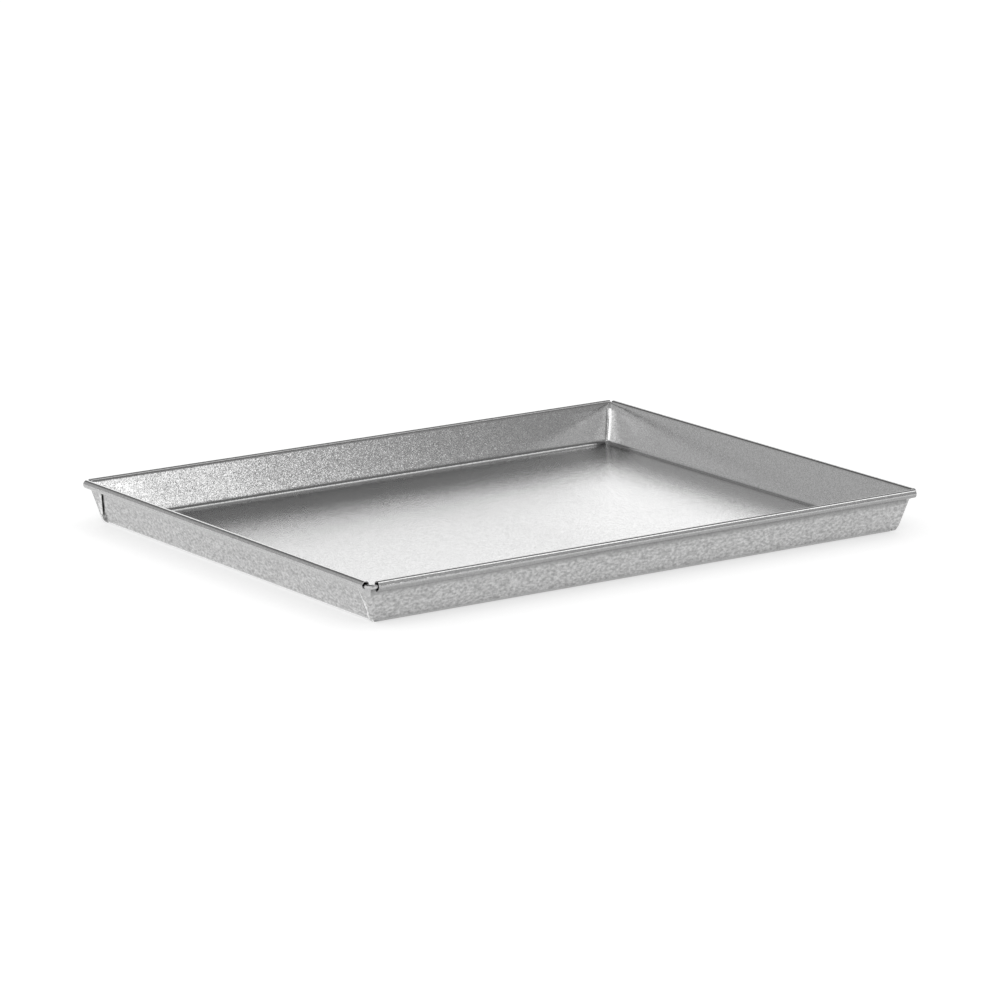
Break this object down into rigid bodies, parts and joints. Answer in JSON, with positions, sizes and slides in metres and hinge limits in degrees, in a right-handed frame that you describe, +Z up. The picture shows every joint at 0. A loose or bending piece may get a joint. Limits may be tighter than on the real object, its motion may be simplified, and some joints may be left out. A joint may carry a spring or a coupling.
{
  "type": "cookie sheet",
  "caption": "Rectangular baking tray folded from one steel sheet, with low leaning walls, envelope-folded corners and a rim curled round a wire hoop.",
  "frame": {"origin": "under the middle of the floor, on the flat underside", "axes": "+X along the long sides, +Y along the short sides, +Z up out of the tray"},
  "size_m": [0.405, 0.318, 0.027],
  "materials": {
    "pan_sheet": "zinc or tin coated steel sheet with a fine mottled grain, half bright",
    "rim_wire": "drawn steel wire, dull bright"
  },
  "bodies": {
    "root": {"folded_pan": "pan_sheet", "rim_wire": "rim_wire"}
  },
  "joints": []
}
